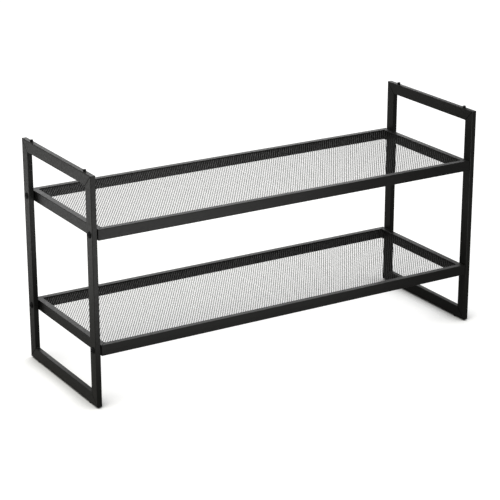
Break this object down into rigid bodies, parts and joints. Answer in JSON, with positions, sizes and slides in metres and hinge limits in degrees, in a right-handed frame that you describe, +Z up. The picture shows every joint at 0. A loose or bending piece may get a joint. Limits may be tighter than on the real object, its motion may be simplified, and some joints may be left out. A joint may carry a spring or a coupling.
{
  "type": "tiered shoe rack",
  "caption": "Low steel shoe rack: rectangular tube side frames carry wire-mesh shelves on bolts, with pegs on top for stacking.",
  "frame": {"origin": "on the floor, under the middle of the rack's footprint", "axes": "+X along the rack to the right seen from the front, +Y from the front to the back, +Z up"},
  "size_m": [0.8324, 0.28, 0.436],
  "materials": {
    "frame_steel": "satin black powder coat, fine grain",
    "shelf_steel": "satin black powder coat, fine grain",
    "mesh_steel": "black powder coat on expanded steel mesh",
    "black_hardware": "black oxide, slightly glossy",
    "black_nylon": "moulded, matt",
    "zinc_steel": "zinc plated"
  },
  "bodies": {
    "root": {"left_front_post": "frame_steel", "left_back_post": "frame_steel", "left_top_rail": "frame_steel", "left_bottom_rail": "frame_steel", "right_front_post": "frame_steel", "right_back_post": "frame_steel", "right_top_rail": "frame_steel", "right_bottom_rail": "frame_steel", "upper_front_rail_left": "shelf_steel", "upper_front_rail_right": "shelf_steel", "upper_back_rail_left": "shelf_steel", "upper_back_rail_right": "shelf_steel", "upper_left_end_rail": "shelf_steel", "upper_right_end_rail": "shelf_steel", "lower_front_rail_left": "shelf_steel", "lower_front_rail_right": "shelf_steel", "lower_back_rail_left": "shelf_steel", "lower_back_rail_right": "shelf_steel", "lower_left_end_rail": "shelf_steel", "lower_right_end_rail": "shelf_steel", "upper_mesh_left": "mesh_steel", "upper_mesh_right": "mesh_steel", "lower_mesh_left": "mesh_steel", "lower_mesh_right": "mesh_steel", "upper_front_sleeve": "zinc_steel", "upper_back_sleeve": "zinc_steel", "lower_front_sleeve": "zinc_steel", "lower_back_sleeve": "zinc_steel", "left_frame_bolts": "black_hardware", "right_frame_bolts": "black_hardware", "left_spacer_washers": "black_nylon", "right_spacer_washers": "black_nylon", "upper_shelf_weld_nuts": "zinc_steel", "lower_shelf_weld_nuts": "zinc_steel", "left_stacking_pins": "black_hardware", "right_stacking_pins": "black_hardware", "left_feet": "black_nylon", "right_feet": "black_nylon"}
  },
  "joints": []
}
